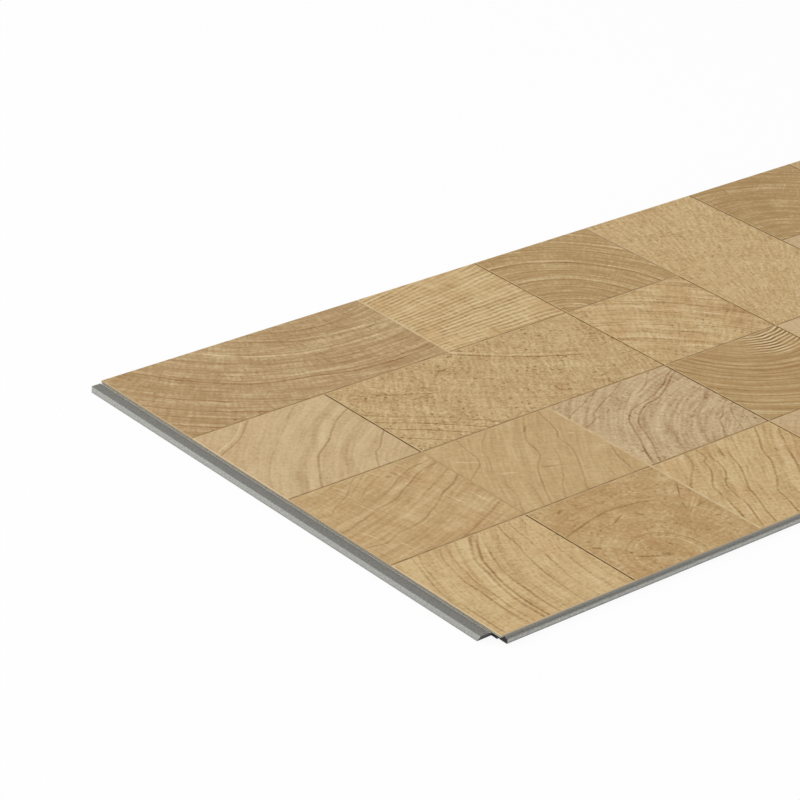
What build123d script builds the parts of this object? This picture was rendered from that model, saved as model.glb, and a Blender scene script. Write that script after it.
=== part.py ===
from build123d import *
import os

# A rigid PVC cladding panel with a printed face and click edges, in millimetres.
# The decor face is up. X runs along the length, Y across the width, and Z is up.
# The origin is on the back, under the middle of the decor face.
# The lipped short edge is at -X and its mate at +X.
# The tongue of the long edges is at -Y and its groove at +Y.

# Board, measured over the decor face
face_length = 600.0
face_width = 300.0
thickness = 5.5
face_bevel = 0.4

# Joint, shared by all four edges
play = 0.1
end_play = 0.2
corner_chamfer = 0.2

# Short edges: a broad lower lip at -X, a rebate with a hooked tongue at +X
upper_lip = 1.3
lip_reach = 6.0
lip_drop = 1.7
channel_width = 0.3
channel_depth = 0.3
channel_slope = 0.3
slot_depth = 3.0

# Long edges: a blunt tongue at -Y, a groove over a thin lower lip at +Y
side_upper_lip = 2.3
tongue_reach = 1.5
side_lip_reach = 5.0
side_lip_thickness = 0.6
ridge_width = 1.0
ridge_height = 0.3
ridge_slope = 0.3

# Corner relief: the broad lip stops short of the tongue, with a slanted end
relief_at_top = 6.4
relief_at_bottom = 9.0

# Levels and edge lines that follow from the sizes above
x_low = -face_length / 2
x_high = face_length / 2
y_low = -face_width / 2
y_high = face_width / 2
bevel_z = thickness - face_bevel
slot_top = thickness - upper_lip
groove_top = thickness - side_upper_lip
lip_top = thickness - lip_drop
channel_floor = lip_top - channel_depth
ridge_top = side_lip_thickness + ridge_height
hook_top = slot_top - play
tongue_top = groove_top - play
x_lip = x_low - lip_reach
x_hook = x_high + slot_depth - end_play
y_tongue = y_low - tongue_reach
y_side_lip = y_high + side_lip_reach
x_rebate = x_high - lip_reach - end_play
y_rebate = y_low + side_lip_reach + end_play


def lengthwise_section():
    """Section seen along Y: lower lip and slot at -X, rebate and hook at +X."""
    channel_edge = x_low - channel_width
    hook_heel = x_high - channel_width + play
    hook_floor = channel_floor + play
    return Polyline(
        (x_low + face_bevel, thickness),
        (x_low, bevel_z),
        (x_low, slot_top),
        (x_low + slot_depth, slot_top),
        (x_low + slot_depth, channel_floor),
        (channel_edge, channel_floor),
        (channel_edge - channel_slope, lip_top),
        (x_lip + corner_chamfer, lip_top),
        (x_lip, lip_top - corner_chamfer),
        (x_lip, corner_chamfer),
        (x_lip + corner_chamfer, 0),
        (x_rebate, 0),
        (x_rebate, lip_top + play),
        (hook_heel - channel_slope, lip_top + play),
        (hook_heel, hook_floor),
        (x_hook - play, hook_floor),
        (x_hook, hook_floor + play),
        (x_hook, hook_top - play),
        (x_hook - play, hook_top),
        (x_high, hook_top),
        (x_high, bevel_z),
        (x_high - face_bevel, thickness),
        close=True,
    )


def crosswise_section():
    """Section seen along X: tongue over a rebate at -Y, groove over a thin lip at +Y."""
    groove_back = y_high - tongue_reach - end_play
    ridge_start = y_side_lip - ridge_width
    notch_start = y_low + side_lip_reach - ridge_width - play
    tongue_floor = side_lip_thickness + play
    return Polyline(
        (y_low + face_bevel, thickness),
        (y_low, bevel_z),
        (y_low, tongue_top),
        (y_tongue + corner_chamfer, tongue_top),
        (y_tongue, tongue_top - corner_chamfer),
        (y_tongue, tongue_floor + corner_chamfer),
        (y_tongue + corner_chamfer, tongue_floor),
        (notch_start - ridge_slope, tongue_floor),
        (notch_start, ridge_top + play),
        (y_rebate, ridge_top + play),
        (y_rebate, 0),
        (y_side_lip, 0),
        (y_side_lip, ridge_top - corner_chamfer),
        (y_side_lip - corner_chamfer, ridge_top),
        (ridge_start, ridge_top),
        (ridge_start - ridge_slope, side_lip_thickness),
        (groove_back, side_lip_thickness),
        (groove_back, groove_top),
        (y_high, groove_top),
        (y_high, bevel_z),
        (y_high - face_bevel, thickness),
        close=True,
    )


def block(x_from, x_to, y_from, y_to, z_from, z_to):
    """A box between two corners, used as a cutter."""
    size = (x_to - x_from, y_to - y_from, z_to - z_from)
    return Pos(x_from, y_from, z_from) * Box(*size, align=(Align.MIN, Align.MIN, Align.MIN))


def lip_relief():
    """Wedge that takes off the lip, and the core under the face, at the tongue's corner."""
    outline = Polyline(
        (y_tongue - tongue_reach, slot_top),
        (y_low + relief_at_top, slot_top),
        (y_low + relief_at_bottom, 0),
        (y_low + relief_at_bottom, -thickness),
        (y_tongue - tongue_reach, -thickness),
        close=True,
    )
    plane = Plane(origin=(x_lip - lip_reach, 0, 0), x_dir=(0, 1, 0), z_dir=(1, 0, 0))
    return extrude(plane * make_face(outline), amount=2 * lip_reach + slot_depth)


def lip_end():
    """Far end of the broad lip, left whole because the groove stops at the face's corner."""
    return block(x_lip, x_low, y_high - side_lip_reach, y_high, 0, lip_top)


def corner_cuts():
    """Cuts that keep each edge's profile from running past the next edge."""
    over = thickness
    below, above = -over, thickness + over
    tongue_end = block(x_rebate, x_hook + over, y_tongue - over, y_low, below, above)
    side_lip_start = block(
        x_lip - over, x_low + relief_at_top, y_high, y_side_lip + over, below, above
    )
    return [lip_relief(), tongue_end, side_lip_start]


# The board runs through two profile cutters, one for each pair of edges
along_x = Plane(origin=(0, 0, 0), x_dir=(0, 1, 0), z_dir=(1, 0, 0))
along_y = Plane(origin=(0, 0, 0), x_dir=(1, 0, 0), z_dir=(0, -1, 0))
ends = extrude(along_y * make_face(lengthwise_section()), amount=face_width, both=True)
sides = extrude(along_x * make_face(crosswise_section()), amount=face_length, both=True)
panel = (ends & sides) + (ends & lip_end())
for cut in corner_cuts():
    panel = panel - cut

os.makedirs("parts", exist_ok=True)
export_step(panel, "parts/cladding_panel.step")
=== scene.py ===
import math
from collections import namedtuple

import bmesh
import bpy
from mathutils import Matrix, Vector


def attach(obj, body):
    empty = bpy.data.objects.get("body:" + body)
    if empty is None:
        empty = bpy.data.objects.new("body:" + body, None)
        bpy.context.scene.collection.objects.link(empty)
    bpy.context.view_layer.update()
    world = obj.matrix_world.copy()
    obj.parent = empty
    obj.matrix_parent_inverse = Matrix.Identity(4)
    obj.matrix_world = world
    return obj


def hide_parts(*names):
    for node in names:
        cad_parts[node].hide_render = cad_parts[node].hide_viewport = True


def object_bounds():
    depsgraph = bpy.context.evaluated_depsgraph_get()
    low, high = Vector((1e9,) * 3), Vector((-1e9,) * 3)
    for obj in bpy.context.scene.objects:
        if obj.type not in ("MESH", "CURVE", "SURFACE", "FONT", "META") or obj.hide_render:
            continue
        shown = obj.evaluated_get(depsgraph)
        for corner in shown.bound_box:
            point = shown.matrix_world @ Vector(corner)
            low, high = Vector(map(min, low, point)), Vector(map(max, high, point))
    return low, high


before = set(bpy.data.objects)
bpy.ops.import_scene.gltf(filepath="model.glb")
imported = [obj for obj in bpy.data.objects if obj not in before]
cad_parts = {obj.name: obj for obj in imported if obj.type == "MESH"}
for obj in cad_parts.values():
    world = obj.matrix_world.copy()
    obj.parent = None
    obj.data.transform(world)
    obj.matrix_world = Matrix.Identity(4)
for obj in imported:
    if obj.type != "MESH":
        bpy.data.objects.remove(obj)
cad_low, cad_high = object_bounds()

# A cladding panel of rigid foamed PVC with a wood-block print, lying face up on a white floor.
# Sizes are in millimetres in the panel's own frame, turned to metres where Blender needs them.
MM = 0.001

# Decor face: a grid of blocks, some of them two columns long or two rows high
COLUMNS = 7
ROWS = 4
FACE_BEVEL = 0.4

# Joints between blocks: a shallow V with a broad dark side and a narrow pale one, uneven along its runs. The
# pale side faces the key lamp and its tone is a painted highlight; the dark side is the printed dark joint
# and also painted shade on the slope turned from the lamp
DARK_SIDE = 1.0
PALE_SIDE = 0.4
JOINT_DEPTH = 0.08
JOINT_RUN = 6.0

# Column joints that aren't plain dark: the line between columns and the row, and the print.
# One line is pale on both sides.
PALE_COLUMN_LINE = 2
COLUMN_JOINTS = {
    (1, 1): "joint_deep",
    (1, 2): "joint_faint",
    (1, 3): "joint_deep",
    (3, 2): "joint_deep",
    (4, 0): "joint_soft",
    (5, 0): "joint_deep",
}

# Milled edges: the slot's level and reach, the corner cut's reach, the height of the painted shade at a
# wall's foot, and the tongue's foot
SLOT_LEVEL = 3.65
SLOT_REACH = 5.0
RELIEF_REACH = 9.0
FOOT_SHADE_HEIGHT = 1.2
NOSE_FOOT = 0.7

# Cut cells of the core, and the line of the film and its bond on a wall, down from the face
CELL_SIZE = 1.0
CELL_PIT = 0.1
FILM_LINE_TOP = 0.4
FILM_LINE_FOOT = 1.4

# Points this near count as one, and points this near the face's plane as on it
WELD = 0.001
NEAR = 0.01

# A place this near a line of the grid, in cells, is on it
ON_LINE = 0.001

# Lean of a face: straight along an axis, slanted towards it, or turned a little under
STRAIGHT = 0.9
SLANTED = 0.5
UNDERCUT = 0.2

# Printed wood tones
LATE_WOOD = "865C1E"
PALE_WOOD = "E7D0A4"
BROWN_TAN = "AF9061"
DEEP_TAN = "AF8E58"
DARK_TAN = "AA8850"
WARM_TAN = "B99863"
HONEY = "BE9F6C"
PALE_HONEY = "C4A570"
STRAW = "C7A974"
PALE_STRAW = "CAAD79"
CREAM = "C6AA7E"
ASH = "BFA37A"

# Joints printed on the film: tone, how far it wears towards the plain tone, and shine. The pale print is
# also the painted highlight of the joint slopes that face the key lamp
PLAIN_SHINE = 0.5
JOINT_PRINTS = {
    "joint_deep": ("4A2C0C", 0.3, 0.0),
    "joint_dark": ("6A4A1C", 0.45, 0.0),
    "joint_pale_print_and_highlight": ("D3BB8F", 0.8, PLAIN_SHINE),
    "joint_soft": ("866634", 0.45, PLAIN_SHINE),
    "joint_faint": ("A98A58", 0.6, PLAIN_SHINE),
}

# Cut edges of the film: the axis that an edge runs along, and its tone beside each block in turn
FILM_WEAR = 0.4
FILM_EDGES = {
    "film_edge": ("Y", ("D4BA92", "BA9A6C", "D4BA92", "B89B70")),
    "film_side": ("X", ("D0B48C", "BC9E74", "C4A980", "C0A47A", "B89B70", "C0A47A", "BC9E74")),
}

# The film and its bond on a wall
FILM_LINE = "9C917A"

# Milled faces of the core: tone, whether the film's line shows, and the level and brightness of the foot's
# painted shade
CORE_FACES = {
    "wall": ("A8A8A3", True, (0.0, 0.68)),
    "nose": ("A8A8A3", False, (NOSE_FOOT, 0.35)),
    # Painted shade: the flat tops are the same core as the walls, toned darker to stand for the lesser light
    # they get
    "flat": ("767570", False, None),
    # Painted light: the slot's floor is toned much lighter than the core, to cancel the shade inside the
    # slot
    "slot": ("CDC5B5", False, None),
    # Painted light: the tongue's top is toned lighter than the flat, against the shade of the wall and panel
    # over it
    "ledge_painted_light": ("96958F", False, None),
    # Painted shade: the wall over the tongue is toned darker, for the shade it lies in under the film's edge
    "shoulder_painted_shade": ("8A8984", True, None),
    # Painted shadow: the cut ends of the lip and tongue and the faces turned under are toned near black
    "cut_end_painted_shadow": ("2A2A29", False, None),
    "back": ("A4A39E", False, None),
}

# Finish of the PVC
PVC_IOR = 1.5
FILM_SHEEN = (0.5, 0.7)
JOINT_ROUGHNESS = 0.6
CORE_ROUGHNESS = 0.75
PIT_STRENGTH = 0.5

# Scales of the print, in millimetres. The finest grain of such a film, a few tenths of a millimetre,
# is too fine to show in the render, so grain, rays and pores are drawn coarser.
PATCH_SIZE = 16.0
STREAK_LENGTH = 22.0
STREAK_WIDTH = 1.7
RAY_LENGTH = 9.0
RAY_WIDTH = 1.6
GRAIN_SIZE = 1.9
PORE_SIZE = 2.4
BLOTCH_SIZE = 18.0
STAIN_SIZE = 24.0
SWAY = 0.8
SWAY_SIZE = 14.0
BEND_SIZE = 25.0
EMBOSS_DEPTH = 0.22
LEAST_REACH = 12.0
LINE_END = 3.0
RING_MARGIN = 3.0

# Rings that one ramp holds, and how deep a print is before it is fully pale or dark
RINGS_A_RAMP = 6
FULL_DEPTH = 0.9

# Steps that set the blocks' noises apart, the bend of ripples in radians, and the drift of years
SEED_STEP = 13.7
BAND_STEP = 7.3
RIPPLE_BEND = 5.0
YEAR_DRIFT = 2.0
DRIFT_SCALE = 0.5

# A noise's middle, the finer steps that it adds to its own size, and how strong those are
MIDDLE = 0.5
ONE_STEP = 1.0
TWO_STEPS = 2.0
THREE_STEPS = 3.0
SOFT_STEPS = 0.6
HARD_STEPS = 0.7

# The part of a noise's range where its effect grows from none to full
FADE_RANGE = (0.36, 0.62)
PORE_RANGE = (0.6, 0.75)
STAIN_RANGE = (0.45, 0.75)
JOINT_RANGE = (0.35, 0.65)

# How much of a print is left where it has faded most and least
RINGS_KEPT = (0.5, 1.0)
DRAWN_KEPT = (0.45, 0.8)
RIPPLES_KEPT = (0.3, 1.0)

# Strength of the weakest and strongest year line
YEAR_WEIGHTS = (0.25, 1.0)

# Sections through a printed ring. A clear ring: distance in millimetres against darkness.
# A drawn line: distance in line widths against darkness.
# A year: its share against a grey level, with 0.5 as the plain tone.
MARK_PROFILE = ((-1.5, 0.0), (-0.4, 0.9), (0.1, 1.0), (0.6, -0.35), (1.4, 0.0))
LINE_PROFILE = ((-2.0, 0.0), (-1.2, -0.25), (-0.5, 0.8), (0.0, 1.0), (0.5, 0.8), (1.2, -0.25), (2.0, 0.0))
YEAR_PROFILE = ((0.0, 0.3), (0.12, 0.46), (0.3, 0.5), (0.75, 0.52), (0.9, 0.8), (0.95, 1.0), (0.99, 0.3))

# A scratch is full over this share of its width. Cut cells: a noise level against brightness.
# The film's line: its share upwards against how far it covers the core.
STROKE_CORE = 0.3
CELL_SHADES = ((0.3, 0.72), (0.5, 1.0), (0.7, 1.28))
FILM_LINE_PROFILE = ((0.0, 0.0), (0.45, 0.0), (0.6, 0.8), (1.0, 1.0))

# What a block's print has where its own entry says nothing else.
# Strengths run from 0 to about 1; sizes are in millimetres.
PLAIN_BLOCK = {
    "long": 1, "high": 1, "fan": False,
    "marks": (), "drawn": (), "strokes": (),
    "bands": 0.2, "band_size": 8.0, "streaks": 0.3,
    "lines": 0.0, "line_gap": 8.0,
    "ripples": 0.0, "ripple_gap": 3.0, "ripple_reach": (900.0, 1000.0), "ripple_side": (-1000.0, -900.0),
    "rays": 0.3, "grain": 0.25, "pores": 0.15, "mottle": 0.15,
    "stain": 0.15, "stain_tone": "E0B88A",
}

# The blocks, each with its first column, its top row, its tone and the heart its growth rings run round.
# In a fan the lines run out from the heart instead.
# A mark is one clear ring: its radius, and how dark it is, or how pale below 0.
# A drawn line is a ring that runs through given places: the places, its darkness, its width.
# A stroke is a scratch or crack: its ends, its width, and how dark it is.
# Close ripples fade out over a reach, outwards from the heart, and start over a side, round it.
BLOCKS = [
    {"name": "broad_arcs", "at": (0, 0), "long": 2, "tone": BROWN_TAN, "heart": (-155, 242),
     "marks": ((106.5, 0.5), (170, 0.35), (181, 0.5), (192, 0.6), (200, 0.35), (209, 0.5), (215, 0.4)),
     "drawn": (
         (((-290, 152), (-283, 149), (-267, 128), (-252, 114), (-232, 101), (-209, 94), (-177, 85),
           (-153, 84), (-126, 86)), 0.8, 0.8),
         (((-278, 152), (-267, 132), (-252, 118), (-232, 104.5), (-209, 97.5), (-177, 88.5), (-153, 87.5),
           (-126, 89.5)), 0.5, 0.7),
         (((-226, 151), (-214, 144.5), (-189, 129.5), (-154, 122), (-126, 122)), 0.5, 0.8),
         (((-224, 154), (-214, 147.5), (-189, 132), (-154, 124.5), (-126, 124)), -0.4, 1.0),
         (((-247, 152), (-239, 145), (-222, 130.5), (-189, 115.5), (-154, 112), (-126, 112.5)), -0.6, 1.0),
         (((-260, 152), (-248, 140), (-230, 124), (-205, 111), (-180, 103), (-150, 100),
           (-126, 101)), 0.35, 0.7)),
     "streaks": 0.55, "pores": 0.4, "stain": 0.2},
    {"name": "straw_ripples", "at": (2, 0), "tone": STRAW, "heart": (-420, 86), "fan": True,
     "ripples": 0.4, "ripple_gap": 3.2, "streaks": 0.35, "rays": 0.45, "pores": 0.2, "stain": 0.3},
    {"name": "quarter_arcs", "at": (3, 0), "tone": DEEP_TAN, "heart": (-46, 60),
     "marks": ((21, 0.6), (26, -0.5), (31, 0.5), (36, 0.35), (40, 0.5), (47, 0.3), (56, 0.6), (58, -0.35),
               (60.5, -0.3), (68, 0.35), (72, -0.3), (78, 0.65), (80, -0.5), (88, 0.35), (95, 0.3),
               (105, -0.6), (107, 0.4), (114, 0.5), (116, -0.4), (118.5, 0.5)),
     "bands": 0.25, "band_size": 5.0, "streaks": 0.5, "rays": 0.25, "pores": 0.2},
    {"name": "fine_hatch", "at": (4, 0), "high": 2, "tone": PALE_HONEY, "heart": (-10, -90), "bands": 0.1,
     "rays": 0.5, "pores": 0.35, "streaks": 0.2, "grain": 0.5,
     "strokes": (((70, 118), (76, 116), 1.4, 0.5), ((75, 116), (83, 115.5), 1.2, 0.5))},
    {"name": "dense_arcs", "at": (5, 0), "tone": DARK_TAN, "heart": (128, 48), "bands": 0.3,
     "band_size": 4.0, "lines": 0.35, "line_gap": 3.2, "streaks": 0.45, "rays": 0.15,
     "strokes": (((159, 127), (185, 143.5), 1.0, -0.2), ((177, 121), (195, 133.5), 1.0, -0.2),
                 ((152, 146), (149, 138), 1.1, 0.6))},
    {"name": "plain_end", "at": (6, 0), "tone": HONEY, "heart": (330, 20), "lines": 0.4},
    {"name": "cream_sweeps", "at": (0, 1), "tone": CREAM, "heart": (-141, -89),
     "drawn": (
         (((-279, 0), (-266, 18), (-258, 27), (-243, 37), (-237, 43), (-227, 50), (-213, 57.5)), 0.6, 0.8),
         (((-289, 0), (-273, 22), (-264.5, 29.5), (-254, 37), (-246, 45.5), (-237, 53), (-227, 58),
           (-213, 67)), 0.3, 3.0),
         (((-284, 0), (-269, 20), (-261, 28.5), (-249, 37), (-241, 44.5), (-232, 52),
           (-213, 62)), -0.2, 2.5),
         (((-242, 0), (-234.5, 12), (-227, 17), (-213, 30)), 0.6, 0.8),
         (((-258, 0), (-247, 19.5), (-237, 28), (-226, 34), (-213, 43)), 0.3, 3.5),
         (((-302, 51), (-288, 58), (-277, 64.5), (-262, 77)), 0.5, 0.8),
         (((-302, 54), (-288, 61), (-277, 67.5), (-267, 77)), -0.5, 1.0),
         (((-302, 10), (-283, 34.5), (-273, 43), (-255, 58), (-238, 72)), 0.3, 0.9)),
     "bands": 0.15, "band_size": 12.0, "streaks": 0.25, "rays": 0.15, "stain_tone": "E6C0A8"},
    {"name": "pored_slope", "at": (1, 1), "long": 2, "tone": HONEY, "heart": (123, 410),
     "drawn": (
         (((-131, 73), (-109, 56), (-91, 44), (-75, 36), (-62, 28)), 0.8, 0.9),
         (((-129, 75), (-108, 58.5), (-90, 46.5), (-74, 38.5), (-66, 34)), -0.4, 1.0),
         (((-216, 48), (-197.5, 34.5), (-179, 20.5), (-156, 0)), 0.5, 0.8),
         (((-216, 45), (-195, 29), (-180, 17.5), (-160, 0)), -0.4, 0.9),
         (((-216, 39), (-190, 20), (-167, 0)), 0.8, 0.8),
         (((-216, 31), (-195, 15), (-177, 0)), 0.8, 0.8),
         (((-216, 20), (-203, 9), (-192, 0)), 0.8, 0.8),
         (((-206, 66), (-186, 54.5), (-166, 44), (-156, 38)), 0.5, 0.8),
         (((-190, 67), (-182, 63), (-173, 58)), 0.4, 0.8),
         (((-158, 70), (-150, 63), (-141, 56)), 0.4, 0.8)),
     "pores": 0.75, "rays": 0.45, "streaks": 0.25, "bands": 0.15, "grain": 0.5},
    {"name": "slanted_ripples", "at": (3, 1), "tone": PALE_HONEY, "heart": (-120, -105),
     "drawn": (
         (((-36, 61), (-16, 42), (-1, 27), (12, 15)), 0.4, 0.8),
         (((12, 66), (30, 49.5), (44, 37)), 0.4, 0.8),
         (((-28, 42), (-15, 31), (-4, 22), (17, 0)), 0.45, 0.8),
         (((-26, 45), (-20, 40), (-14, 34)), -0.6, 2.0)),
     "bands": 0.25, "rays": 0.4, "lines": 0.6, "line_gap": 6.5, "streaks": 0.6, "grain": 0.35, "pores": 0.5,
     "stain": 0.35},
    {"name": "pale_end", "at": (5, 1), "tone": CREAM, "heart": (150, -80), "lines": 0.4},
    {"name": "far_ripples", "at": (6, 1), "tone": BROWN_TAN, "heart": (320, -60), "ripples": 0.4},
    {"name": "orange_lines", "at": (0, 2), "tone": HONEY, "heart": (-335, 195),
     "drawn": (
         (((-302, -56), (-288, -57.5), (-277, -54), (-261, -52), (-252, -47.5), (-241, -42), (-232, -36),
           (-222, -32), (-212, -25)), 0.55, 0.9),
         (((-302, -39), (-292, -38), (-284.5, -35.5), (-270, -31), (-258, -29), (-248, -24), (-237, -18.5),
           (-224.5, -13), (-212, -11)), 0.45, 0.8),
         (((-302, -21), (-292, -22), (-288, -19), (-279.5, -15), (-273, -12), (-266, -5.5),
           (-256, 1)), 0.4, 0.8),
         (((-277, -17), (-269.5, -12), (-263, -7.5), (-251, 1)), 0.35, 0.7),
         (((-274, -20.5), (-266, -15.5), (-258, -11), (-247, -9)), 0.35, 0.7),
         (((-268, -24.5), (-257, -21), (-247, -16.5), (-241, -13), (-227, -8.5), (-212, -6.5)), 0.5, 0.8),
         (((-262, -77), (-243, -70), (-232, -66), (-222, -61.5), (-212, -57)), 0.4, 0.8),
         (((-270, -44), (-255, -39), (-240, -32), (-225, -24), (-212, -19)), 0.25, 0.7)),
     "bands": 0.25, "streaks": 0.35, "stain": 0.4,
     "strokes": (((-275, -1), (-271, -11), 1.2, -0.5), ((-251, 0), (-247, -7), 1.2, -0.5),
                 ((-239.5, -7), (-237.5, -16), 1.4, -0.65), ((-276.5, -17), (-272, -37), 1.2, -0.55),
                 ((-293, -41), (-287.5, -55), 1.2, -0.5), ((-283, -58), (-280.5, -68), 1.2, -0.5),
                 ((-234, -38), (-230, -54), 1.4, -0.55), ((-222, -39), (-220, -57), 1.2, -0.5),
                 ((-234.5, -61), (-232, -71), 1.2, -0.5), ((-247, -9), (-243, -10), 2.5, 0.5),
                 ((-241.5, -6), (-239.5, -12), 1.6, 0.45))},
    {"name": "contour_lines", "at": (1, 2), "tone": HONEY, "heart": (159, -263),
     "drawn": (
         (((-191, 1), (-195, -14), (-197, -22), (-203, -28.5), (-217, -38)), 0.45, 0.8),
         (((-170, 1), (-181, -8), (-189, -17), (-191.5, -23), (-197, -32), (-202, -38)), 0.3, 0.7),
         (((-145, 1), (-159.5, -16.5), (-163, -22), (-166.5, -34), (-177, -44), (-186, -57),
           (-198, -77)), 0.5, 0.8),
         (((-135, 1), (-139.5, -12), (-143, -22), (-147, -28), (-148, -37), (-154.5, -49), (-162, -60.5),
           (-174, -77)), 0.5, 0.8),
         (((-152, -14), (-157, -29), (-156.5, -34), (-164.5, -48), (-176, -60.5), (-189, -77)), 0.35, 0.7),
         (((-126, -42), (-134.5, -55.5), (-136, -62), (-140, -77)), 0.6, 0.8),
         (((-144, -55), (-147, -61), (-152, -77)), 0.35, 0.7),
         (((-194, -37), (-202, -49), (-204.5, -57), (-215, -76)), 0.4, 0.7),
         (((-190, -48), (-193, -58), (-203, -77)), 0.3, 0.7)),
     "bands": 0.15, "rays": 0.2, "streaks": 0.25, "grain": 0.2,
     "strokes": (((-213, -14), (-194, -26), 1.3, -0.45), ((-199, -37.5), (-186, -43), 1.5, -0.5),
                 ((-178, -44), (-163, -49), 1.8, 0.5), ((-159, -14), (-150, -7), 2.4, 0.4),
                 ((-141, -26), (-135, -27.5), 1.4, -0.45), ((-140, -44), (-130, -46), 1.2, -0.4))},
    {"name": "ash_double_line", "at": (2, 2), "tone": ASH, "heart": (-33, -103),
     "drawn": (
         (((-127, -77), (-118, -59), (-112, -49), (-105.5, -37), (-100.5, -31), (-92, -25.5), (-82, -23.5),
           (-74, -21), (-63, -16.5), (-55.5, -12), (-41, -4)), 0.75, 0.8),
         (((-122.5, -77), (-114, -62), (-108, -52), (-102, -39.5), (-98, -35.5), (-89, -28.5),
           (-80.5, -25.5), (-72, -24), (-60.5, -18), (-52, -12.5), (-41, -7.5)), 0.75, 0.8),
         (((-131, -17), (-119, -10.5), (-110.5, -7.5), (-102, -3.5), (-90, 1)), 0.6, 0.8),
         (((-131, -29), (-119, -24), (-113, -18.5), (-105.5, -14), (-94, -9), (-83, -4),
           (-74, 1)), 0.55, 0.8),
         (((-131, -22), (-117, -16), (-104, -9), (-90, -4)), 0.3, 0.8),
         (((-82, -16), (-74, -13), (-65.5, -8), (-54, 1)), 0.6, 0.8),
         (((-41, -30), (-55.5, -41.5), (-65.5, -45.5), (-70.5, -50.5), (-80, -62), (-87, -77)), 0.4, 2.0),
         (((-41, -44), (-55.5, -54), (-64, -60.5), (-75, -77)), 0.65, 0.8),
         (((-41, -48), (-57, -65), (-63, -77)), 0.5, 0.8),
         (((-41, -56), (-50, -65), (-56, -77)), 0.45, 0.8),
         (((-104, -77), (-92, -52), (-86, -40)), 0.35, 2.0)),
     "bands": 0.3, "pores": 0.5, "grain": 0.4, "streaks": 0.5, "stain_tone": "D8B4A0",
     "strokes": (((-72, -23.5), (-61.5, -33), 1.2, -0.5), ((-93, -8), (-82, -17), 1.2, -0.4))},
    {"name": "corner_ripples", "at": (3, 2), "tone": DEEP_TAN, "heart": (29, 25),
     "marks": ((53, 0.5), (57, 0.35), (62, 0.6), (64, -0.3), (66.5, 0.4), (71, 0.5), (74.5, 0.3),
               (78.5, 0.5), (84, 0.4), (86, -0.3), (90, 0.5), (96, 0.45), (103, 0.5), (105, -0.5),
               (110.5, 0.5), (113, -0.5), (117, 0.5)),
     "bands": 0.35, "band_size": 5.0, "streaks": 0.35, "rays": 0.15, "grain": 0.15,
     "ripples": 1.3, "ripple_gap": 2.7, "ripple_reach": (42.0, 54.0), "ripple_side": (-12.0, 18.0)},
    {"name": "pale_sliver", "at": (4, 2), "tone": CREAM, "heart": (60, 90), "lines": 0.4},
    {"name": "far_slope", "at": (5, 2), "long": 2, "tone": HONEY, "heart": (350, -300), "lines": 0.4},
    {"name": "straw_lines", "at": (0, 3), "tone": PALE_STRAW, "heart": (-155, -140),
     "drawn": (
         (((-297.5, -107), (-294.5, -95.5), (-290.5, -83), (-287, -73)), 0.4, 0.7),
         (((-296, -152), (-296.5, -129), (-296, -114), (-292.5, -100.5), (-289.5, -87),
           (-282, -73)), 0.5, 0.8),
         (((-281.5, -152), (-282, -123), (-281.5, -109), (-279, -94), (-275, -83), (-268, -73)), 0.5, 0.8),
         (((-278, -152), (-278, -123), (-277, -109), (-274.5, -95.5), (-265, -73)), 0.4, 0.8),
         (((-272, -152), (-272, -127), (-269.5, -114), (-267, -104), (-264, -94), (-258, -84),
           (-249, -73)), 0.75, 1.1),
         (((-269, -152), (-268.5, -123), (-266.5, -112), (-263.5, -102), (-259, -92), (-253, -83),
           (-244, -73)), 0.6, 0.9),
         (((-263, -152), (-262.5, -129), (-261, -114), (-257.5, -102), (-252, -89), (-243, -73)), 0.6, 0.8),
         (((-246.5, -152), (-246, -133), (-244, -117), (-241, -104), (-237.5, -92), (-232, -73)), 0.65, 0.8),
         (((-237.5, -152), (-237, -129), (-234.5, -115.5), (-231.5, -100.5), (-229.5, -88),
           (-225, -73)), 0.5, 0.8),
         (((-226.5, -152), (-226, -123), (-224, -110.5), (-222, -95.5), (-218, -73)), 0.4, 0.8)),
     "bands": 0.25, "streaks": 0.4, "grain": 0.35, "stain": 0.3},
    {"name": "pith_knot", "at": (1, 3), "tone": WARM_TAN, "heart": (-184, -142),
     "marks": ((11, 0.2), (17, -0.35), (20.5, 0.35), (25.5, 0.2)),
     "drawn": (
         (((-217, -104.5), (-203, -99.5), (-192, -97), (-176, -95.5), (-164.5, -97), (-154.5, -99.5),
           (-147, -104)), 0.7, 0.9),
         (((-180, -120), (-184, -121), (-190, -119.5), (-197, -116)), 0.35, 1.5)),
     "bands": 0.12, "streaks": 0.12, "rays": 0.2, "mottle": 0.4, "pores": 0.45, "grain": 0.4, "stain": 0.4,
     "strokes": (((-200, -133.5), (-186, -142), 1.3, 0.9), ((-188, -139.5), (-181, -143.5), 4.0, 0.7),
                 ((-211, -116.5), (-206, -120.5), 2.2, 0.7), ((-199, -129.5), (-196, -132), 2.0, 0.7),
                 ((-188, -107), (-174, -101), 2.0, 0.6), ((-170.5, -103), (-166.5, -109), 2.5, 0.5),
                 ((-203, -84.5), (-195, -81), 2.5, 0.5), ((-190, -80), (-186, -84), 2.0, 0.4),
                 ((-178, -89), (-172, -86.5), 2.0, 0.5), ((-169, -87), (-165, -84), 2.0, 0.4),
                 ((-146, -117), (-141, -107), 0.9, 0.7), ((-141.5, -108), (-128, -91), 0.9, 0.7),
                 ((-146, -117), (-128, -115), 0.9, 0.5), ((-151, -123.5), (-129, -109), 2.0, -0.3),
                 ((-148, -119.5), (-128, -105), 2.0, -0.3))},
    {"name": "orange_slope", "at": (2, 3), "tone": STRAW, "heart": (168, -271),
     "drawn": (
         (((-105, -73), (-108, -83), (-118, -92), (-131, -106)), 0.5, 1.0),
         (((-97, -73), (-99.5, -84), (-103.5, -87), (-107, -95.5), (-118, -107), (-121, -117),
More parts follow.
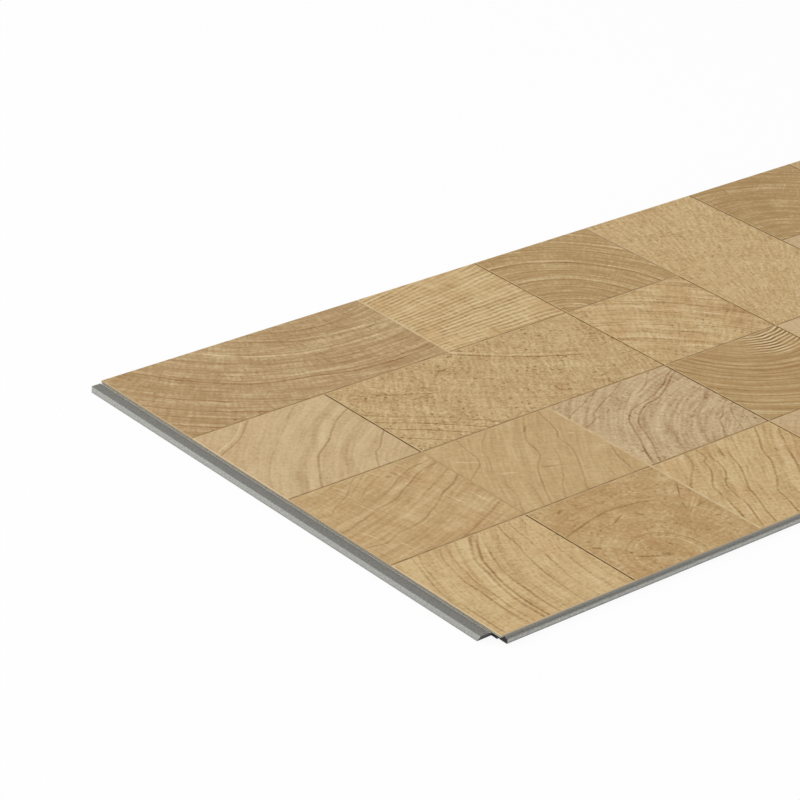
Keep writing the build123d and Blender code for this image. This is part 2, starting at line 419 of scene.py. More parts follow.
           (-122.5, -123), (-127, -135)), 0.7, 0.8),
         (((-94, -79), (-97, -87), (-102, -100.5), (-110.5, -109), (-115, -120.5), (-117, -129),
           (-125, -147)), 0.65, 0.8),
         (((-84, -83), (-88.5, -93), (-94.5, -105.5), (-103.5, -117), (-107, -125.5), (-112, -135.5),
           (-119, -152)), 0.7, 0.8),
         (((-53, -73), (-63, -87), (-70.5, -97), (-74.5, -105.5), (-84.5, -119), (-93, -128),
           (-96, -135.5), (-102, -152)), 0.8, 0.9),
         (((-38, -75), (-57, -100.5), (-65.5, -115.5), (-80, -137)), 0.7, 0.9),
         (((-73, -77), (-82, -92), (-92, -107), (-99, -121), (-109, -140)), 0.35, 0.8)),
     "bands": 0.3, "streaks": 0.4, "rays": 0.25, "grain": 0.4, "stain": 0.4,
     "strokes": (((-85.5, -78), (-92.5, -92), 2.4, 0.7), ((-62, -95), (-50, -99.5), 1.3, -0.6),
                 ((-62.5, -96), (-63, -101), 1.1, 0.7))},
    {"name": "pale_corner", "at": (3, 3), "tone": CREAM, "heart": (60, -200), "lines": 0.3},
    {"name": "far_arcs", "at": (4, 3), "tone": BROWN_TAN, "heart": (40, -60), "bands": 0.4},
    {"name": "far_lines", "at": (5, 3), "tone": STRAW, "heart": (90, -180), "lines": 0.4},
    {"name": "far_corner", "at": (6, 3), "tone": HONEY, "heart": (320, -40), "bands": 0.3},
]

# Photograph's frame and viewpoint
SENSOR = 36.0
LENS = 147.86
CAMERA_AT = (-1204.2, -1034.8, 773.7)
LOOK_TURN = 43.206
LOOK_DOWN = 27.335
CAMERA_ROLL = 4.409
CLIP_NEAR = 0.05
CLIP_FAR = 100

# Lamps: name, place in metres and power in watts
LAMPS = (("key", (-1.6, 1.2, 1.5), 32), ("fill", (0.8, -1.9, 0.8), 13.5))
LAMP_SIZE = 1.5

# White room and floor: the room's strength as a light, the floor's own tone, the share of it that glows,
# its half width in metres and the gap under the panel in millimetres
WHITE = (1, 1, 1, 1)
ROOM_LIGHT = 0.54
FLOOR_TONE = (0.9, 0.9, 0.9, 1)
FLOOR_GLOW = 0.93
FLOOR_REACH = 20
FLOOR_GAP = 0.05

# Shader nodes in short, and the colour sockets of a mix
MATH = "ShaderNodeMath"
VECTOR = "ShaderNodeVectorMath"
NOISE = "ShaderNodeTexNoise"
RAMP = "ShaderNodeValToRGB"
RANGE = "ShaderNodeMapRange"
MAPPING = "ShaderNodeMapping"
MIX = "ShaderNodeMix"
PLACE = "ShaderNodeTexCoord"
SPLIT = "ShaderNodeSeparateXYZ"
SHADER = "ShaderNodeBsdfPrincipled"
OUTPUT = "ShaderNodeOutputMaterial"
UNDER = 6
OVER = 7
MIXED = 2

# What a print is drawn from: the place on the face and among the rings, the distance across them, along
# them and from the heart, how far the print has faded, and its growth bands
Rings = namedtuple("Rings", "flat polar ring along radius fade bands")

# The blocks filled in, each with a number that sets its noises apart
blocks = [{**PLAIN_BLOCK, **block, "seed": number} for number, block in enumerate(BLOCKS, 1)]

# The decor face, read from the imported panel
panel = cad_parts["cladding_panel"]
face_level = cad_high.z - NEAR * MM
face_corner = max((v.co for v in panel.data.vertices if v.co.z > face_level), key=lambda p: p.x + p.y)
face_size = (face_corner.to_2d() / MM + Vector.Fill(2, FACE_BEVEL)) * 2


def linear(hex_colour):
    """The linear colour of an sRGB hex value."""
    parts = [int(hex_colour[i:i + 2], 16) / 255 for i in (0, 2, 4)]
    return tuple(p / 12.92 if p <= 0.04045 else ((p + 0.055) / 1.055) ** 2.4 for p in parts) + (1.0,)


def grey(level):
    """A grey of one linear level."""
    return (level, level, level, 1)


def add(tree, kind, links=None, out=0, **settings):
    """Add a node with its settings, feed its sockets, and give one of its outputs."""
    node = tree.nodes.new(kind)
    for name, value in settings.items():
        setattr(node, name, value)
    for key, value in (links or {}).items():
        if isinstance(value, bpy.types.NodeSocket):
            tree.links.new(value, node.inputs[key])
        else:
            node.inputs[key].default_value = value
    return node.outputs[out] if node.outputs else None


def new_material(name):
    """A material and its empty tree."""
    material = bpy.data.materials.new(name)
    material.use_nodes = True
    material.node_tree.nodes.clear()
    return material, material.node_tree


def set_stops(ramp, stops):
    """Give a colour ramp its stops, in order, as places and colours."""
    elements = ramp.node.color_ramp.elements
    while len(elements) > 1:
        elements.remove(elements[-1])
    elements[0].position, elements[0].color = stops[0]
    for place, colour in stops[1:]:
        elements.new(place).color = colour


def new_object(name, data):
    """An object with the given data, put in the scene."""
    thing = bpy.data.objects.new(name, data)
    bpy.context.scene.collection.objects.link(thing)
    return thing


def mesh_object(name, bm, materials):
    """An object with a built mesh and its materials."""
    mesh = bpy.data.meshes.new(name)
    bm.to_mesh(mesh)
    bm.free()
    for material in materials:
        mesh.materials.append(material)
    return new_object(name, mesh)


def block_box(block):
    """The block's lowest and highest corner on the face, in millimetres."""
    wide = face_size.x / COLUMNS
    high = face_size.y / ROWS
    left = -face_size.x / 2 + block["at"][0] * wide
    top = face_size.y / 2 - block["at"][1] * high
    return left, top - block["high"] * high, left + block["long"] * wide, top


def heart_view(block):
    """The block's heart, and how far off and which way the block's middle lies from it."""
    left, bottom, right, top = block_box(block)
    heart = Vector(block["heart"])
    sight = Vector(((left + right) / 2, (bottom + top) / 2)) - heart
    return heart, max(sight.length, LEAST_REACH), math.atan2(sight.y, sight.x)


def ring_place(block, point):
    """Where a point of the face lies among the rings: its distance from the heart, and round it."""
    heart, reach, turn = heart_view(block)
    turned = Matrix.Rotation(-turn, 2) @ (Vector(point) - heart)
    return turned.length, math.atan2(turned.y, turned.x) * reach


def ring_field(tree, block):
    """The places that a block's print is drawn from, swayed as real rings are."""
    heart, reach, turn = heart_view(block)
    place = add(tree, PLACE, out="Object")
    flat = add(tree, VECTOR, {0: place, 1: (1 / MM, 1 / MM, 0)}, operation="MULTIPLY")
    start = Matrix.Rotation(-turn, 2) @ -heart
    local = add(tree, MAPPING, {"Vector": flat, "Location": (*start, 0), "Rotation": (0, 0, -turn)})
    sway = add(tree, NOISE, {"Vector": flat, "Scale": 1 / SWAY_SIZE, "Detail": THREE_STEPS}, out="Color",
               noise_dimensions="2D")
    shift = add(tree, VECTOR, {0: sway, 1: (MIDDLE, MIDDLE, MIDDLE)}, operation="SUBTRACT")
    warped = add(tree, VECTOR, {0: shift, 1: (2 * SWAY, 2 * SWAY, 0), 2: local}, operation="MULTIPLY_ADD")
    radius = add(tree, VECTOR, {0: warped}, out="Value", operation="LENGTH")
    across = add(tree, SPLIT, {0: warped})
    angle = add(tree, MATH, {0: across.node.outputs["Y"], 1: across}, operation="ARCTAN2")
    round_heart = add(tree, MATH, {0: angle, 1: reach}, operation="MULTIPLY")
    ring, along = (round_heart, radius) if block["fan"] else (radius, round_heart)
    polar = add(tree, "ShaderNodeCombineXYZ", {"X": ring, "Y": along, "Z": SEED_STEP * block["seed"]})
    patch = add(tree, NOISE, {"Vector": polar, "Scale": 1 / PATCH_SIZE, "Detail": TWO_STEPS})
    fade = add(tree, RANGE, {"Value": patch, "From Min": FADE_RANGE[0], "From Max": FADE_RANGE[1]})
    bands = add(tree, MATH, {0: ring, 1: 1 / block["band_size"], 2: BAND_STEP * block["seed"]},
                operation="MULTIPLY_ADD")
    return Rings(flat, polar, ring, along, radius, fade, bands)


def weakened(tree, layer, rings, kept):
    """A layer that is weaker where the print has faded."""
    share = add(tree, RANGE, {"Value": rings.fade, "To Min": kept[0], "To Max": kept[1]})
    return add(tree, MATH, {0: layer, 1: share}, operation="MULTIPLY")


def growth_bands(tree, block, rings):
    """Growth bands, smooth and uneven, and fine broken lines along them."""
    band = add(tree, NOISE, {"W": rings.bands, "Scale": 1.0, "Detail": TWO_STEPS, "Roughness": SOFT_STEPS},
               noise_dimensions="1D")
    thin = add(tree, VECTOR, {0: rings.polar, 1: (1 / STREAK_WIDTH, 1 / STREAK_LENGTH, 1)},
               operation="MULTIPLY")
    streak = add(tree, NOISE, {"Vector": thin, "Scale": 1.0, "Detail": ONE_STEP})
    return [(band, MIDDLE, 2 * block["bands"]), (streak, MIDDLE, 2 * block["streaks"])]


def clear_rings(tree, block, rings):
    """Clear single rings, each a dark line with a pale edge."""
    layers = []
    marks = sorted(block["marks"])
    for first in range(0, len(marks), RINGS_A_RAMP):
        group = marks[first:first + RINGS_A_RAMP]
        low = group[0][0] - RING_MARGIN
        high = group[-1][0] + RING_MARGIN
        share = add(tree, RANGE, {"Value": rings.ring, "From Min": low, "From Max": high})
        shades = add(tree, RAMP, {"Fac": share})
        stops = [(0.0, MIDDLE), (1.0, MIDDLE)]
        for distance, depth in group:
            for offset, dark in MARK_PROFILE:
                stops.append(((distance + offset - low) / (high - low), MIDDLE + dark * depth / 2))
        set_stops(shades, [(p, grey(v)) for p, v in sorted(stops)])
        signed = add(tree, MATH, {0: shades, 1: MIDDLE}, operation="SUBTRACT")
        layers.append((weakened(tree, signed, rings, RINGS_KEPT), 0.0, 2.0))
    return layers


def course_stops(block, points, course, ring_span, run_span):
    """Stops of a drawn line's course: red is its distance over the rings, green fades its loose ends."""
    left, bottom, right, top = block_box(block)
    stops = []
    for index, ((x, y), (distance, run)) in enumerate(zip(points, course)):
        inside = min(x - left, right - x, y - bottom, top - y) > LINE_END
        loose_end = inside and index in (0, len(points) - 1)
        red = (distance - ring_span[0]) / (ring_span[1] - ring_span[0])
        green = 0.0 if loose_end else 1.0
        place = (run - run_span[0]) / (run_span[1] - run_span[0])
        stops.append((place, (red, green, 0, 1)))
    return sorted(stops)


def drawn_rings(tree, block, rings):
    """Rings drawn through given places, each with its own course and darkness, summed."""
    if not block["drawn"]:
        return []
    courses = [[ring_place(block, point) for point in points] for points, depth, width in block["drawn"]]
    distances, runs = zip(*(place for course in courses for place in course))
    near, far = min(distances) - RING_MARGIN, max(distances) + RING_MARGIN
    first, last = min(runs), max(runs)
    way = add(tree, RANGE, {"Value": rings.along, "From Min": first, "From Max": last})
    out = add(tree, RANGE, {"Value": rings.ring, "From Min": near, "From Max": far}, clamp=False)
    reach = LINE_PROFILE[-1][0]
    total = None
    for (points, depth, width), course in zip(block["drawn"], courses):
        curve = add(tree, RAMP, {"Fac": way})
        curve.node.color_ramp.interpolation = "CARDINAL"
        set_stops(curve, course_stops(block, points, course, (near, far), (first, last)))
        parts = add(tree, "ShaderNodeSeparateColor", {0: curve})
        off = add(tree, MATH, {0: out, 1: parts}, operation="SUBTRACT")
        spread = 2 * reach * width
        off = add(tree, MATH, {0: off, 1: (far - near) / spread, 2: MIDDLE}, operation="MULTIPLY_ADD")
        line = add(tree, RAMP, {"Fac": off})
        set_stops(line, [((p + reach) / (2 * reach), grey(MIDDLE + v / 2)) for p, v in LINE_PROFILE])
        line = add(tree, MATH, {0: line, 1: 2 * depth, 2: -depth}, operation="MULTIPLY_ADD")
        line = add(tree, MATH, {0: line, 1: parts.node.outputs["Green"]}, operation="MULTIPLY")
        total = line if total is None else add(tree, MATH, {0: total, 1: line}, operation="ADD")
    return [(weakened(tree, total, rings, DRAWN_KEPT), 0.0, 1.0)]


def year_lines(tree, block, rings):
    """Year lines, each of its own strength, that come and go along their length."""
    if not block["lines"]:
        return []
    drift = add(tree, NOISE, {"W": rings.bands, "Scale": DRIFT_SCALE, "Detail": ONE_STEP},
                noise_dimensions="1D")
    drift = add(tree, MATH, {0: drift, 1: YEAR_DRIFT, 2: block["seed"]}, operation="MULTIPLY_ADD")
    years = add(tree, MATH, {0: rings.ring, 1: 1 / block["line_gap"], 2: drift}, operation="MULTIPLY_ADD")
    year = add(tree, MATH, {0: years}, operation="FLOOR")
    weight = add(tree, "ShaderNodeTexWhiteNoise", {"W": year}, noise_dimensions="1D")
    weight = add(tree, RANGE, {"Value": weight, "To Min": YEAR_WEIGHTS[0], "To Max": YEAR_WEIGHTS[1]})
    season = add(tree, MATH, {0: years}, operation="FRACT")
    line = add(tree, RAMP, {"Fac": season})
    set_stops(line, [(p, grey(v)) for p, v in YEAR_PROFILE])
    line = add(tree, MATH, {0: line, 1: MIDDLE}, operation="SUBTRACT")
    strength = add(tree, MATH, {0: weight, 1: rings.fade}, operation="MULTIPLY")
    line = add(tree, MATH, {0: line, 1: strength}, operation="MULTIPLY")
    return [(line, 0.0, 2 * block["lines"])]


def close_ripples(tree, block, rings):
    """Embossed ripples close together, kept to their own part of the block."""
    if not block["ripples"]:
        return []
    bend = add(tree, NOISE, {"Vector": rings.polar, "Scale": 1 / BEND_SIZE, "Detail": ONE_STEP})
    bend = add(tree, MATH, {0: bend, 1: RIPPLE_BEND}, operation="MULTIPLY")
    pitch = 2 * math.pi / block["ripple_gap"]
    swell = add(tree, MATH, {0: rings.ring, 1: pitch, 2: bend}, operation="MULTIPLY_ADD")
    swell = add(tree, MATH, {0: swell}, operation="SINE")
    near, far = block["ripple_reach"]
    for value, start, end in ((rings.radius, far, near), (rings.along, *block["ripple_side"])):
        share = add(tree, RANGE, {"Value": value, "From Min": start, "From Max": end})
        swell = add(tree, MATH, {0: swell, 1: share}, operation="MULTIPLY")
    return [(weakened(tree, swell, rings, RIPPLES_KEPT), 0.0, block["ripples"])]


def grain_and_pores(tree, block, rings):
    """Rays across the rings, fine grain, dark pores and blotches."""
    fine = add(tree, VECTOR, {0: rings.polar, 1: (1 / RAY_LENGTH, 1 / RAY_WIDTH, 1)}, operation="MULTIPLY")
    ray = add(tree, NOISE, {"Vector": fine, "Scale": 1.0, "Detail": ONE_STEP, "Roughness": SOFT_STEPS})
    grain = add(tree, NOISE, {"Vector": rings.flat, "Scale": 1 / GRAIN_SIZE, "Detail": ONE_STEP,
                              "Roughness": HARD_STEPS}, noise_dimensions="2D")
    pore = add(tree, NOISE, {"Vector": rings.flat, "Scale": 1 / PORE_SIZE, "Detail": ONE_STEP},
               noise_dimensions="2D")
    pore = add(tree, RANGE, {"Value": pore, "From Min": PORE_RANGE[0], "From Max": PORE_RANGE[1]})
    pore = add(tree, MATH, {0: pore, 1: rings.fade}, operation="MULTIPLY")
    blotch = add(tree, NOISE, {"Vector": rings.flat, "Scale": 1 / BLOTCH_SIZE, "Detail": THREE_STEPS},
                 noise_dimensions="2D")
    return [(ray, MIDDLE, 2 * block["rays"]), (grain, MIDDLE, 2 * block["grain"]),
            (pore, 0.0, block["pores"]), (blotch, MIDDLE, 2 * block["mottle"])]


def scratches(tree, block, rings):
    """Single scratches and cracks, strongest along their middle."""
    layers = []
    for start, end, width, depth in block["strokes"]:
        start, end = Vector(start), Vector(end)
        run = end - start
        lie = math.atan2(run.y, run.x)
        centre = Matrix.Rotation(-lie, 2) @ ((start + end) / 2)
        turned = add(tree, MAPPING, {"Vector": rings.flat, "Rotation": (0, 0, -lie),
                                     "Location": (*-centre, 0)})
        scaled = add(tree, VECTOR, {0: turned, 1: (2 / run.length, 2 / width, 0)}, operation="MULTIPLY")
        away = add(tree, VECTOR, {0: scaled}, out="Value", operation="LENGTH")
        stroke = add(tree, RANGE, {"Value": away, "From Min": 1.0, "From Max": STROKE_CORE})
        layers.append((stroke, 0.0, depth))
    return layers


def print_depth(tree, block, rings):
    """All layers of a block's print summed: above 0 dark and pressed in, below 0 pale and raised."""
    depth = None
    drawings = (growth_bands, clear_rings, drawn_rings, year_lines, close_ripples, grain_and_pores,
                scratches)
    for draw in drawings:
        for value, middle, weight in draw(tree, block, rings):
            share = add(tree, MATH, {0: value, 1: weight, 2: -middle * weight}, operation="MULTIPLY_ADD")
            depth = share if depth is None else add(tree, MATH, {0: depth, 1: share}, operation="ADD")
    return depth


def wood_print(block):
    """PVC film printed with the end grain of one block and embossed along it."""
    # Calendered and embossed film: a low, soft sheen, a little duller where the dark rings are pressed in
    material, tree = new_material("printed_pvc_film_" + block["name"])
    rings = ring_field(tree, block)
    depth = print_depth(tree, block, rings)
    shade = add(tree, RANGE, {"Value": depth, "From Min": -FULL_DEPTH, "From Max": FULL_DEPTH})
    colour = add(tree, RAMP, {"Fac": shade})
    set_stops(colour, [(0.0, linear(PALE_WOOD)), (MIDDLE, linear(block["tone"])), (1.0, linear(LATE_WOOD))])
    stain = add(tree, NOISE, {"Vector": rings.polar, "Scale": 1 / STAIN_SIZE, "Detail": TWO_STEPS})
    stain = add(tree, RANGE, {"Value": stain, "From Min": STAIN_RANGE[0], "From Max": STAIN_RANGE[1],
                              "To Max": block["stain"]})
    colour = add(tree, MIX, {"Factor": stain, UNDER: colour, OVER: linear(block["stain_tone"])},
                 out=MIXED, data_type="RGBA", blend_type="MULTIPLY")
    height = add(tree, MATH, {0: depth, 1: -1.0}, operation="MULTIPLY")
    emboss = add(tree, "ShaderNodeBump", {"Height": height, "Strength": 1.0, "Distance": EMBOSS_DEPTH * MM})
    sheen = add(tree, RANGE, {"Value": depth, "From Min": -1.0, "From Max": 1.0, "To Min": FILM_SHEEN[0],
                              "To Max": FILM_SHEEN[1]})
    surface = add(tree, SHADER, {"Base Color": colour, "Normal": emboss, "Roughness": sheen, "IOR": PVC_IOR})
    add(tree, OUTPUT, {"Surface": surface})
    return material


def tone_along(tree, place, axis, tones):
    """Tones one after another along an axis of the face, in equal lengths."""
    run = add(tree, SPLIT, {0: place}, out=axis)
    half = getattr(face_size, axis.lower()) / 2 * MM
    share = add(tree, RANGE, {"Value": run, "From Min": -half, "From Max": half})
    tone = add(tree, RAMP, {"Fac": share})
    tone.node.color_ramp.interpolation = "CONSTANT"
    set_stops(tone, [(i / len(tones), linear(hex_colour)) for i, hex_colour in enumerate(tones)])
    return tone


def worn_film(name, tones, wear, shine=PLAIN_SHINE, axis=None):
    """PVC film where a joint is printed in one tone, or where it is cut, in tones along an axis."""
    # The film is dull where it is pressed or cut, and its print is uneven, so a joint comes and goes
    material, tree = new_material(name)
    place = add(tree, PLACE, out="Object")
    run = add(tree, NOISE, {"Vector": place, "Scale": 1 / (JOINT_RUN * MM), "Detail": THREE_STEPS})
    left = add(tree, RANGE, {"Value": run, "From Min": JOINT_RANGE[0], "From Max": JOINT_RANGE[1],
                             "To Min": 1 - wear, "To Max": 1.0})
    tone = tone_along(tree, place, axis, tones) if axis else linear(tones)
    colour = add(tree, MIX, {"Factor": left, UNDER: linear(HONEY), OVER: tone}, out=MIXED,
                 data_type="RGBA")
    surface = add(tree, SHADER, {"Base Color": colour, "Roughness": JOINT_ROUGHNESS, "IOR": PVC_IOR,
                                 "Specular IOR Level": shine})
    add(tree, OUTPUT, {"Surface": surface})
    return material


def milled_core(name, hex_colour, film_line, foot):
    """Rigid foamed PVC, sawn and milled."""
    # The cut core is grey and dead matt, with the fine speckle and pits of its opened cells
    material, tree = new_material(name)
    place = add(tree, PLACE, out="Object")
    cells = add(tree, NOISE, {"Vector": place, "Scale": 1 / (CELL_SIZE * MM), "Detail": THREE_STEPS,
                              "Roughness": HARD_STEPS})
    base = linear(hex_colour)
    colour = add(tree, RAMP, {"Fac": cells})
    set_stops(colour, [(p, (*(c * bright for c in base[:3]), 1)) for p, bright in CELL_SHADES])
    if film_line:
        # The film and its bond show on the wall as a line under the bevel
        height = add(tree, SPLIT, {0: place}, out="Z")
        level = add(tree, RANGE, {"Value": height, "From Min": cad_high.z - FILM_LINE_FOOT * MM,
                                  "From Max": cad_high.z - FILM_LINE_TOP * MM})
        line = add(tree, RAMP, {"Fac": level})
        set_stops(line, [(p, grey(v)) for p, v in FILM_LINE_PROFILE])
        colour = add(tree, MIX, {"Factor": line, UNDER: colour, OVER: linear(FILM_LINE)},
                     out=MIXED, data_type="RGBA")
    if foot:
        # Painted shade: a wall is darkened towards its lowest edge, for the shade near the floor and in the
        # gap under the tongue
        level, brightness = foot
        height = add(tree, SPLIT, {0: place}, out="Z")
        low = add(tree, RANGE, {"Value": height, "From Min": (level + FOOT_SHADE_HEIGHT) * MM,
                                "From Max": level * MM})
        colour = add(tree, MIX, {"Factor": low, UNDER: colour, OVER: grey(brightness)}, out=MIXED,
                     data_type="RGBA", blend_type="MULTIPLY")
    pits = add(tree, "ShaderNodeBump", {"Height": cells, "Strength": PIT_STRENGTH,
                                        "Distance": CELL_PIT * MM})
    surface = add(tree, SHADER, {"Base Color": colour, "Normal": pits, "Roughness": CORE_ROUGHNESS,
                                 "IOR": PVC_IOR})
    add(tree, OUTPUT, {"Surface": surface})
    return material


def panel_finishes():
    """Every finish of the panel by name, the printed blocks first."""
    finishes = {block["name"]: wood_print(block) for block in blocks}
    for name, joint in JOINT_PRINTS.items():
        finishes[name] = worn_film("printed_pvc_" + name, *joint)
    for name, (axis, tones) in FILM_EDGES.items():
        finishes[name] = worn_film("cut_" + name, tones, FILM_WEAR, axis=axis)
    for name, core in CORE_FACES.items():
        finishes[name] = milled_core("rigid_pvc_core_" + name, *core)
    return finishes


def grid_place(x, y):
    """A place on the face, in columns from its left edge and in rows from its top edge."""
    return (x / face_size.x + 0.5) * COLUMNS, (0.5 - y / face_size.y) * ROWS


def cells_at(place, count):
    """The columns or rows that a place is in, two where it is on a line."""
    return {min(count - 1, max(0, int(place + side))) for side in (-ON_LINE, ON_LINE)}


def block_owners():
    """Which block each cell of the grid belongs to, by column and row."""
    owner = {}
    for index, block in enumerate(blocks):
        first, top = block["at"]
        for column in range(first, first + block["long"]):
            for row in range(top, top + block["high"]):
                owner[column, row] = index
    return owner


def in_joint(x, y, owner):
    """Whether a place on the face is on the line between two different blocks."""
    column, row = grid_place(x, y)
    line = round(column)
    if 0 < line < COLUMNS and abs(column - line) < ON_LINE:
        if any(owner[line - 1, r] != owner[line, r] for r in cells_at(row, ROWS)):
            return True
    line = round(row)
    if 0 < line < ROWS and abs(row - line) < ON_LINE:
        return any(owner[c, line - 1] != owner[c, line] for c in cells_at(column, COLUMNS))
    return False


def top_faces(bm):
    """The faces that lie in the plane of the decor face."""
    return [f for f in bm.faces if all(v.co.z > face_level for v in f.verts)]


def cut_grid(bm):
    """Cut the decor face along the middle and both sides of every line of the grid."""
    column_lines = [(i / COLUMNS - 0.5) * face_size.x for i in range(1, COLUMNS)]
    row_lines = [(0.5 - i / ROWS) * face_size.y for i in range(1, ROWS)]
    sides = ((column_lines, Vector((1, 0, 0)), -1), (row_lines, Vector((0, 1, 0)), 1))
    for lines, across, dark_way in sides:
        for line in lines:
            for offset in (dark_way * DARK_SIDE, 0, -dark_way * PALE_SIDE):
                faces = top_faces(bm)
                edges = dict.fromkeys(e for f in faces for e in f.edges)
                verts = dict.fromkeys(v for f in faces for v in f.verts)
                bmesh.ops.bisect_plane(bm, geom=[*faces, *edges, *verts], plane_no=across,
                                       plane_co=across * (line + offset) * MM)


def press_joints(bm, owner):
    """Lower the middle of every joint, at the rim out along the bevel, and give the lowered points."""
    lowered = {v for f in top_faces(bm) for v in f.verts if in_joint(v.co.x / MM, v.co.y / MM, owner)}
    rim = face_size / 2 - Vector.Fill(2, FACE_BEVEL + NEAR)
    for vert in lowered:
        move = Vector((0, 0, -JOINT_DEPTH))
        if abs(vert.co.x) / MM > rim.x:
            move.x = math.copysign(JOINT_DEPTH, vert.co.x)
        if abs(vert.co.y) / MM > rim.y:
            move.y = math.copysign(JOINT_DEPTH, vert.co.y)
        vert.co += move * MM
    return lowered


def joint_finish(centre, lean):
    """The print on one side of a joint: pale, as a painted highlight, on a slope that faces the key lamp
    unless its print is faint, and the dark joint print, partly painted shade, on a slope turned from it. One
    column line is pale print on both sides.
    """
    if abs(lean.y) > abs(lean.x):
        return "joint_pale_print_and_highlight" if lean.y > 0 else "joint_soft"
    column, row = grid_place(centre.x, centre.y)
    line = round(column)
    own_print = COLUMN_JOINTS.get((line, int(row)), "joint_dark")
    if own_print != "joint_faint" and (lean.x < 0 or line == PALE_COLUMN_LINE):
        return "joint_pale_print_and_highlight"
    return own_print


def core_finish(centre, lean):
    """The finish of a milled face of the core."""
    left, near_side = -face_size.x / 2, -face_size.y / 2
    if lean.z < -STRAIGHT:
        return "back"
    # Painted shadow on faces turned under and on the corner cut's end
    if abs(lean.y) > SLANTED and lean.z < -UNDERCUT:
        return "cut_end_painted_shadow"
    if lean.x < -STRAIGHT and centre.x > left + FACE_BEVEL and centre.y < near_side + RELIEF_REACH:
        return "cut_end_painted_shadow"
    if lean.z > SLANTED:
        # Painted light in the slot's shade
        if centre.z < SLOT_LEVEL and centre.x < left + SLOT_REACH:
            return "slot"
        # The ledge's lighter tone is painted light against its shade, and the flat's darker tone is painted
        # shade
        return "ledge_painted_light" if abs(centre.y) > face_size.y / 2 else "flat"
    # Painted shade on the wall over the tongue
    if lean.y < -STRAIGHT and abs(centre.y - near_side) < FACE_BEVEL:
        return "shoulder_painted_shade"
    if lean.y < -STRAIGHT and centre.y < near_side - FACE_BEVEL:
        return "nose"
    return "wall"


def finish_of(face, lowered):
    """The finish of a face that isn't plain print: a joint, the film's edge, or a part of the core."""
    centre = face.calc_center_median() / MM
    lean = face.normal
    top = cad_high.z / MM
    if centre.z > top - JOINT_DEPTH - NEAR and lean.z > STRAIGHT:
        return joint_finish(centre, lean) if lowered.intersection(face.verts) else None
    if centre.z > top - FACE_BEVEL:
        return "film_edge" if abs(lean.x) > abs(lean.y) else "film_side"
    return core_finish(centre, lean)


def dressed_panel():
    """The panel's own mesh with a V joint pressed in round every block, and a finish on every face."""
    bm = bmesh.new()
    bm.from_mesh(panel.data)
    bmesh.ops.remove_doubles(bm, verts=bm.verts, dist=WELD * MM)
    bmesh.ops.dissolve_faces(bm, faces=top_faces(bm))
    cut_grid(bm)
    owner = block_owners()
    for face in top_faces(bm):
        centre = face.calc_center_median() / MM
        column, row = grid_place(centre.x, centre.y)
        face.material_index = owner[int(column), int(row)]
    lowered = press_joints(bm, owner)
    bm.normal_update()
    finishes = panel_finishes()
    slots = {name: slot for slot, name in enumerate(finishes)}
    for face in bm.faces:
        name = finish_of(face, lowered)
        if name:
            face.material_index = slots[name]
    piece = mesh_object("cladding_panel_dressed", bm, finishes.values())
    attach(piece, "root")
    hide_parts("cladding_panel")


def seen_rays(tree):
    """1 for the rays that the eye sees straight, mirrored or through glass, and 0 for the light's own."""
    path = add(tree, "ShaderNodeLightPath").node.outputs
    seen = add(tree, MATH, {0: path["Is Camera Ray"], 1: path["Is Glossy Ray"]}, operation="MAXIMUM")
    return add(tree, MATH, {0: seen, 1: path["Is Transmission Ray"]}, operation="MAXIMUM")


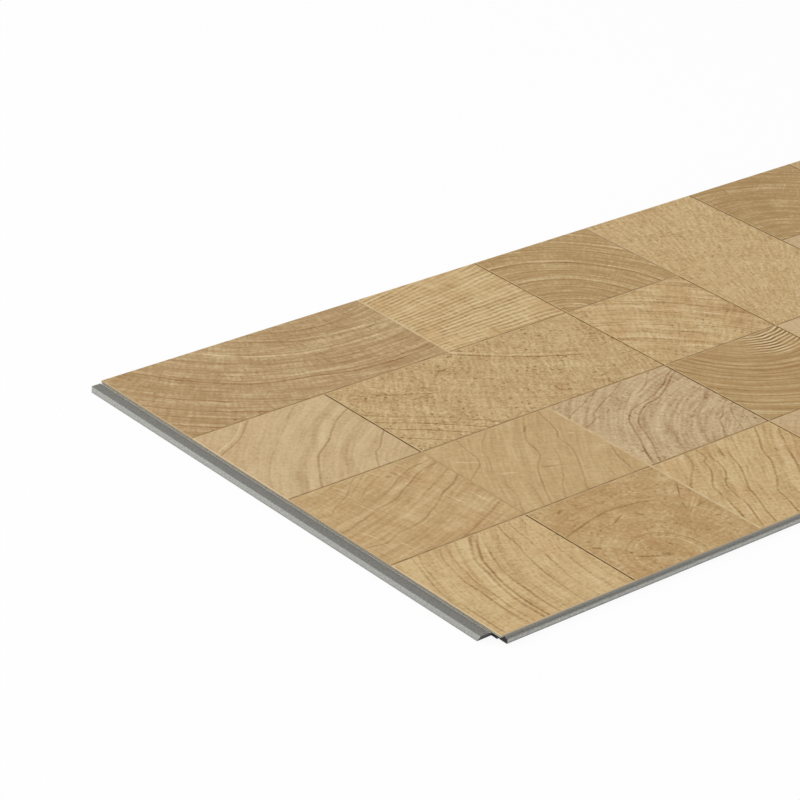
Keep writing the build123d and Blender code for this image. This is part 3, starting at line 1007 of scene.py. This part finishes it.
def white_room():
    """An even room, white to the eye and softer as a light."""
    world = bpy.data.worlds.new("white_room")
    bpy.context.scene.world = world
    world.use_nodes = True
    tree = world.node_tree
    tree.nodes.clear()
    level = add(tree, RANGE, {"Value": seen_rays(tree), "To Min": ROOM_LIGHT, "To Max": 1.0})
    room = add(tree, "ShaderNodeBackground", {"Color": WHITE, "Strength": level})
    add(tree, "ShaderNodeOutputWorld", {"Surface": room})


def white_floor():
    """A matt white floor that keeps a soft shadow."""
    material, tree = new_material("white_floor")
    matt = add(tree, "ShaderNodeBsdfDiffuse", {"Color": FLOOR_TONE})
    glow = add(tree, "ShaderNodeEmission", {"Color": WHITE, "Strength": 1.0})
    share = add(tree, MATH, {0: seen_rays(tree), 1: FLOOR_GLOW}, operation="MULTIPLY")
    mix = add(tree, "ShaderNodeMixShader", {0: share, 1: matt, 2: glow})
    add(tree, OUTPUT, {"Surface": mix})
    bm = bmesh.new()
    bmesh.ops.create_grid(bm, x_segments=1, y_segments=1, size=FLOOR_REACH)
    floor = mesh_object("floor", bm, [material])
    floor.location.z = cad_low.z - FLOOR_GAP * MM


def lamps():
    """A large key lamp from the far left and a weaker fill from the near right, both aimed at the panel."""
    for name, place, energy in LAMPS:
        lamp = bpy.data.lights.new(name, "AREA")
        lamp.size = LAMP_SIZE
        lamp.energy = energy
        light = new_object(name, lamp)
        light.location = place
        light.rotation_euler = (-light.location).to_track_quat("-Z", "Y").to_euler()


def camera():
    """The photograph's viewpoint, its principal point in the middle of the picture."""
    turn, down, roll = (math.radians(a) for a in (LOOK_TURN, LOOK_DOWN, CAMERA_ROLL))
    ahead = Vector((math.sin(turn) * math.cos(down), math.cos(turn) * math.cos(down), -math.sin(down)))
    right = ahead.cross(Vector((0, 0, 1))).normalized()
    up = right.cross(ahead)
    tilted_right = math.cos(roll) * right + math.sin(roll) * up
    tilted_up = math.cos(roll) * up - math.sin(roll) * right
    data = bpy.data.cameras.new("camera")
    data.sensor_width = SENSOR
    data.lens = LENS
    data.clip_start = CLIP_NEAR
    data.clip_end = CLIP_FAR
    eye = new_object("camera", data)
    aim = Matrix((tilted_right, tilted_up, -ahead)).transposed().to_4x4()
    eye.matrix_world = Matrix.Translation(Vector(CAMERA_AT) * MM) @ aim
    bpy.context.scene.camera = eye


bpy.context.scene.view_settings.view_transform = "Standard"
dressed_panel()
white_room()
white_floor()
lamps()
camera()
